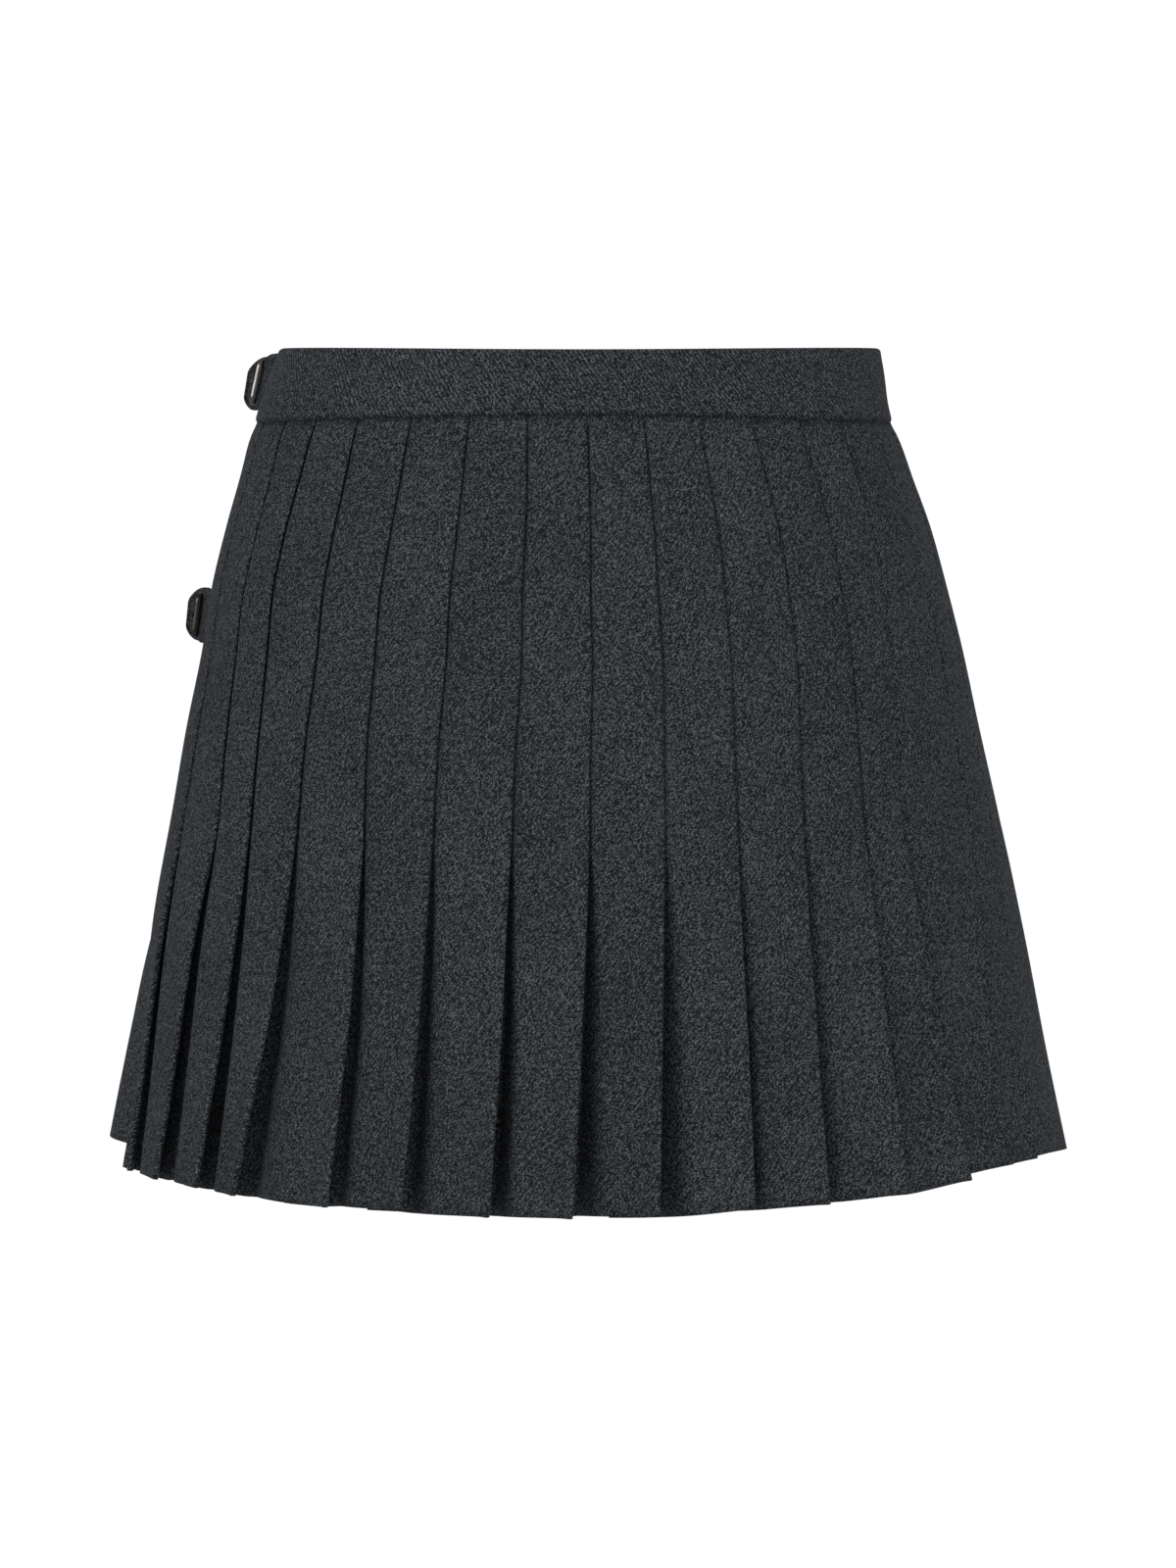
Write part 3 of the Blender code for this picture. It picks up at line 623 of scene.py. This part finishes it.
def strap_cloth(strap, material):
    """A strap: thickness follows a rounded edge, a raised rim and the groove of its edge stitching."""
    tip_run = STRAP_TIP - STRAP_FINE_FROM
    run = np.concatenate((np.linspace(STRAP_ROWS[0, 0], STRAP_FINE_FROM, 40),
                          STRAP_FINE_FROM + tip_run * np.sin(np.linspace(0.05, 0.5, 22) * math.pi)))
    forward, across = np.meshgrid(run, np.sin(np.linspace(-0.5, 0.5, 33) * math.pi), indexing="ij")
    tip = np.clip((forward - STRAP_FINE_FROM) / tip_run, 0.0, 1.0)
    border = np.maximum(np.abs(across), tip ** 1.6)
    half = np.sqrt(np.clip(1.0 - (np.clip(border - 0.86, 0.0, 0.14) / 0.14) ** 2, 0.0, 1.0))
    groove = np.exp(-((border - 0.66) / 0.045) ** 2)
    rim = np.exp(-((border - 0.84) / 0.10) ** 2)
    thick = STRAP_THICK / 2.0 * half
    relief = (STRAP_RIM * rim - STRAP_GROOVE * groove) * half
    outer = strap_points(strap, forward, across, thick + relief)
    inner = strap_points(strap, forward, across, -thick)
    down = across * STRAP_HALF + STRAP_WEAVE
    return cloth_shell(strap[0] + "_strap_cloth", outer, inner, forward, down, material)


def side_place(depth, forward, out, drop, lean):
    """Points by the left side: forward of it, out from it, and below the strap's middle."""
    half, _, _, middle = sections_at(depth)
    forward, out, drop = np.broadcast_arrays(forward, out, drop)
    return np.stack((float(middle - half) - out - lean * drop, forward, -(depth + drop)), -1)


def frame_metal(strap, material):
    """Metal frame: a flat bar with bevelled edges carried round a rectangle with rounded corners.

    Each corner is a quarter circle, and the section lies along (cos a, sin a) from it.
    """
    name, depth, tip_drop, lean_share, reach = strap
    lean = FRAME_LEAN * lean_share
    near, far = FRAME_NEAR + FRAME_BAR / 2.0, FRAME_FAR - FRAME_BAR / 2.0
    tall = FRAME_HALF - FRAME_BAR / 2.0
    corner = FRAME_CORNER
    forward, drop, ahead, down = [], [], [], []
    for centre_forward, centre_drop, first in (
            (far - corner, tall - corner, 0.0), (near + corner, tall - corner, 90.0),
            (near + corner, corner - tall, 180.0), (far - corner, corner - tall, 270.0)):
        for angle in np.radians(first + np.linspace(0.0, 90.0, 9)):
            forward.append(centre_forward + corner * math.cos(angle))
            drop.append(centre_drop + corner * math.sin(angle))
            ahead.append(math.cos(angle))
            down.append(math.sin(angle))
    forward, drop, ahead, down = (np.array(values) for values in (forward, drop, ahead, down))
    half, thick, deep, bevel = FRAME_BAR / 2.0, FRAME_FRONT, FRAME_BEHIND, FRAME_BEVEL
    section = [(half, bevel - deep), (half, 2.0 * bevel), (half - bevel, thick), (bevel - half, thick),
               (-half, thick - bevel), (-half, bevel - deep), (bevel - half, -deep), (half - bevel, -deep)]
    sag = tip_drop * forward / STRAP_ROWS[-1, 0]
    points = []
    for side, up in section:
        points.append(side_place(depth, forward + ahead * side, FRAME_OUT + reach + up,
                                 sag + drop + down * side, lean))
    ring = np.stack(points, 1)
    rows, columns = ring.shape[:2]
    row, column = np.meshgrid(np.arange(rows), np.arange(columns), indexing="ij")
    after, beside = (row + 1) % rows, (column + 1) % columns
    faces = np.stack((row * columns + column, row * columns + beside,
                      after * columns + beside, after * columns + column), -1).reshape(-1, 4)
    return new_piece(name + "_frame_metal", ring, faces, material, smooth=False)


# ---------------------------------------------------------------- materials
# Rows of ribs to a metre for the yarns' own tone, along and across the ribs.
RIB_ROWS = 1.0 / 0.00062
RIB_SPOTS = 1.0 / 0.00095
# How far from the band's seam the painted shade line reaches, in metres of cloth.
SEAM_SHADE_RUN = 0.0026
WOOL_DARK = (0.0032, 0.0038, 0.0048)
WOOL_MID = (0.0131, 0.0147, 0.0172)
WOOL_PALE = (0.152, 0.169, 0.189)
METAL_BROWN = (0.36, 0.33, 0.31)
METAL_GREY = (0.52, 0.50, 0.48)
FLOOR_COLOUR = (0.86, 0.86, 0.86)


def shaded(colour, shade):
    return tuple(shade * part for part in colour)


class Wire:
    """One output socket of a material: arithmetic on it adds Math nodes."""

    def __init__(self, tree, socket):
        self.tree = tree
        self.socket = socket

    def node(self, kind, settings=None, values=None, output=0):
        """Add a node, set its settings, then the values or links of its sockets."""
        made = self.tree.nodes.new(kind)
        for name, value in (settings or {}).items():
            if name == "stops":
                while len(made.color_ramp.elements) < len(value):
                    made.color_ramp.elements.new(0.5)
                for element, (where, colour) in zip(made.color_ramp.elements, value):
                    element.position = where
                    element.color = (*colour, 1.0)
            else:
                setattr(made, name, value)
        for name, value in (values or {}).items():
            if isinstance(value, Wire):
                self.tree.links.new(value.socket, made.inputs[name])
            else:
                made.inputs[name].default_value = value
        return Wire(self.tree, made.outputs[output])

    def math(self, operation, *values):
        return self.node("ShaderNodeMath", {"operation": operation}, dict(enumerate(values)))

    def __add__(self, other):
        return self.math("ADD", self, other)

    __radd__ = __add__

    def __sub__(self, other):
        return self.math("SUBTRACT", self, other)

    def __rsub__(self, other):
        return self.math("SUBTRACT", other, self)

    def __mul__(self, other):
        return self.math("MULTIPLY", self, other)

    __rmul__ = __mul__

    def __truediv__(self, other):
        return self.math("DIVIDE", self, other)

    def sine(self):
        return self.math("SINE", self)

    def held(self, low, high):
        return self.math("MINIMUM", self.math("MAXIMUM", self, low), high)


def new_finish(name, **constants):
    """A Principled material with its constant sockets set; gives it, a wire to start from, its shader."""
    material = bpy.data.materials.new(name)
    material.use_nodes = True
    tree = material.node_tree
    shader = tree.nodes["Principled BSDF"]
    for socket, value in constants.items():
        shader.inputs[socket.replace("_", " ")].default_value = value
    return material, Wire(tree, None), shader


def noise(start, where, scale, detail, rough):
    return start.node("ShaderNodeTexNoise", {"noise_dimensions": "3D"},
                      {"Vector": where, "Scale": scale, "Detail": detail, "Roughness": rough})


def wool_finish(name, slant, shade=1.0, twill=0.07):
    """Charcoal melange twill: pale and dark fibres, slanting ribs, and a slow drift of tone.

    tone = half + flecks + grain + each yarn's own tone + sine of the ribs + drift, less a line of
    painted shade along the band's seam, and a ramp turns it into the colour. The ribs' sine runs over
    3300 * slant * across + 2500 * down, with a wobble.
    """
    material, start, shader = new_finish(
        name, Sheen_Weight=0.06, Sheen_Roughness=0.5, Specular_IOR_Level=0.2)
    shader.inputs["Sheen Tint"].default_value = (0.80, 0.88, 1.0, 1.0)
    place_in_cloth = start.node("ShaderNodeUVMap", {"uv_map": "cloth"})
    apart = place_in_cloth.node("ShaderNodeSeparateXYZ", None, {0: place_in_cloth})
    across = Wire(apart.tree, apart.socket.node.outputs[0])
    down = Wire(apart.tree, apart.socket.node.outputs[1])
    stretched = start.node("ShaderNodeMapping", None, {
        "Vector": place_in_cloth, "Rotation": (0.0, 0.0, slant * 0.9), "Scale": (1.0, 0.55, 1.0)})
    fleck = noise(start, stretched, 1000.0, 3.0, 0.72)
    grain = noise(start, place_in_cloth, 2400.0, 2.0, 0.7)
    drift = noise(start, place_in_cloth, 14.0, 3.0, 0.5)
    wobble = noise(start, place_in_cloth, 420.0, 1.0, 0.5)
    along_rib = (across * slant + down * 1.3) * RIB_ROWS
    cross_rib = (down - across * slant * 1.3) * RIB_SPOTS
    row = along_rib.math("FLOOR", along_rib)
    spot = (cross_rib + row * 0.37).math("FLOOR", cross_rib + row * 0.37)
    cell = start.node("ShaderNodeCombineXYZ", None, {0: row, 1: spot})
    yarn = start.node("ShaderNodeTexWhiteNoise", {"noise_dimensions": "2D"}, {"Vector": cell})
    ribs = ((across * (slant * 3300.0) + down * 2500.0) + wobble * 5.0).sine()
    tone = 0.5 + (fleck - 0.5) * 1.5 + (grain - 0.5) * 1.7 + (yarn - 0.5) * 0.85 + ribs * twill
    # Painted shade: the tone is darkened by up to 0.20 within SEAM_SHADE_RUN of the band's seam.
    seam_painted_shade = (1.0 - down.math("ABSOLUTE", down) / SEAM_SHADE_RUN).held(0.0, 1.0)
    tone = (tone + (drift - 0.5) * 0.22 - seam_painted_shade * 0.20).held(0.0, 1.0)
    stops = [(0.0, shaded(WOOL_DARK, shade)), (0.50, shaded(WOOL_MID, shade)),
             (1.0, shaded(WOOL_PALE, shade))]
    ramp = start.node("ShaderNodeValToRGB", {"stops": stops}, {0: tone})
    start.tree.links.new(ramp.socket, shader.inputs["Base Color"])
    rough = 0.80 + (fleck - 0.5) * 0.25
    start.tree.links.new(rough.socket, shader.inputs["Roughness"])
    height = fleck * 0.30 + grain * 0.30 + yarn * 0.15 + ribs * 0.16
    bump = start.node("ShaderNodeBump", None, {"Strength": 0.45, "Distance": 0.0002, "Height": height})
    start.tree.links.new(bump.socket, shader.inputs["Normal"])
    return material


def metal_finish(name, shade):
    """Gunmetal: brushed lightly, with a warm brown cast in places."""
    material, start, shader = new_finish(name, Metallic=1.0)
    where = start.node("ShaderNodeTexCoord", None, None, 3)
    drawn = start.node("ShaderNodeMapping", None, {"Vector": where, "Scale": (1.0, 1.0, 0.08)})
    brush = noise(start, drawn, 6000.0, 2.0, 0.6)
    cast = noise(start, where, 300.0, 2.0, 0.5)
    stops = [(0.30, shaded(METAL_BROWN, shade)), (0.70, shaded(METAL_GREY, shade))]
    colour = start.node("ShaderNodeValToRGB", {"stops": stops}, {0: cast})
    start.tree.links.new(colour.socket, shader.inputs["Base Color"])
    rough = 0.24 + brush * 0.16
    start.tree.links.new(rough.socket, shader.inputs["Roughness"])
    return material


def plain_finish(name, colour, rough):
    """One colour with a slow drift 3 % darker."""
    material, start, shader = new_finish(name, Roughness=rough)
    where = start.node("ShaderNodeTexCoord", None, None, 3)
    stops = [(0.3, shaded(colour, 0.97)), (0.7, colour)]
    ramp = start.node("ShaderNodeValToRGB", {"stops": stops}, {0: noise(start, where, 3.0, 2.0, 0.5)})
    start.tree.links.new(ramp.socket, shader.inputs["Base Color"])
    return material


# ---------------------------------------------------------------- scene
def studio():
    """Camera, soft lights, pale floor and white surroundings."""
    camera = bpy.data.objects.new("camera", bpy.data.cameras.new("camera"))
    camera.data.lens = CAMERA_LENS
    camera.data.sensor_width = 36.0
    camera.data.clip_end = 50.0
    camera.location = CAMERA_PLACE
    camera.rotation_euler = (math.radians(90.0 - CAMERA_TILT), 0.0, 0.0)
    bpy.context.collection.objects.link(camera)
    bpy.context.scene.camera = camera
    for name, where, size, power in LAMPS:
        lamp = bpy.data.lights.new(name, "AREA")
        lamp.shape = "SQUARE"
        lamp.size = size
        lamp.energy = power
        light = bpy.data.objects.new(name, lamp)
        light.location = where
        towards = np.array((0.0, 0.0, LIT_HEIGHT)) - np.array(where)
        light.rotation_euler = (
            math.atan2(math.hypot(towards[0], towards[1]), -towards[2]), 0.0,
            math.atan2(towards[1], towards[0]) - math.pi / 2.0)
        bpy.context.collection.objects.link(light)
    floor_mesh = bpy.data.meshes.new("floor")
    corners = [(x * FLOOR_HALF, y * FLOOR_HALF, FLOOR_HEIGHT)
               for x, y in ((-1, -1), (1, -1), (1, 1), (-1, 1))]
    floor_mesh.from_pydata(corners, [], [(0, 1, 2, 3)])
    floor_mesh.materials.append(plain_finish("pale_floor", FLOOR_COLOUR, 0.8))
    floor = bpy.data.objects.new("floor", floor_mesh)
    bpy.context.collection.objects.link(floor)
    world = bpy.data.worlds.new("surroundings")
    bpy.context.scene.world = world
    world.use_nodes = True
    start = Wire(world.node_tree, None)
    ground = world.node_tree.nodes["Background"]
    seen = start.node("ShaderNodeLightPath")
    strength = 0.20 + seen * 0.82
    world.node_tree.links.new(strength.socket, ground.inputs["Strength"])
    ground.inputs["Color"].default_value = (1.0, 1.0, 1.0, 1.0)


def dress():
    """Put every piece over its node, attach it to the root, and hide the node."""
    wool = wool_finish("wool", -1.0)
    band_wool = wool_finish("band_wool", 1.0, twill=0.15)
    # The straps are the same wool as the skirt, darkened to 0.8: painted shade.
    strap_wool = wool_finish("strap_wool", 1.0, 0.8)
    # The lower frame and its pin take the same gunmetal darkened to 0.16, against 0.55 for the upper:
    # painted shade.
    gunmetal = {"upper": metal_finish("gunmetal", 0.55), "lower": metal_finish("painted_shade_gunmetal", 0.16)}
    pleats = pleated_cloth(wool)
    front = front_cloth(wool)
    band = waistband_cloth(band_wool)
    for piece, node, slot in ((pleats, "pleated_back", "wool"), (front, "front_panel", "wool"),
                              (band, "waistband", "wool")):
        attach(piece, "root")
        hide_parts(node)
    for strap in STRAPS:
        cloth = strap_cloth(strap, strap_wool)
        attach(cloth, "root")
        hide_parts(strap[0] + "_strap")
        metal = frame_metal(strap, gunmetal[strap[0]])
        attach(metal, "root")
        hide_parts(strap[0] + "_buckle")
        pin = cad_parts[strap[0] + "_pin"]
        pin.data.materials[0] = gunmetal[strap[0]]


bpy.context.scene.view_settings.view_transform = "Standard"
studio()
dress()
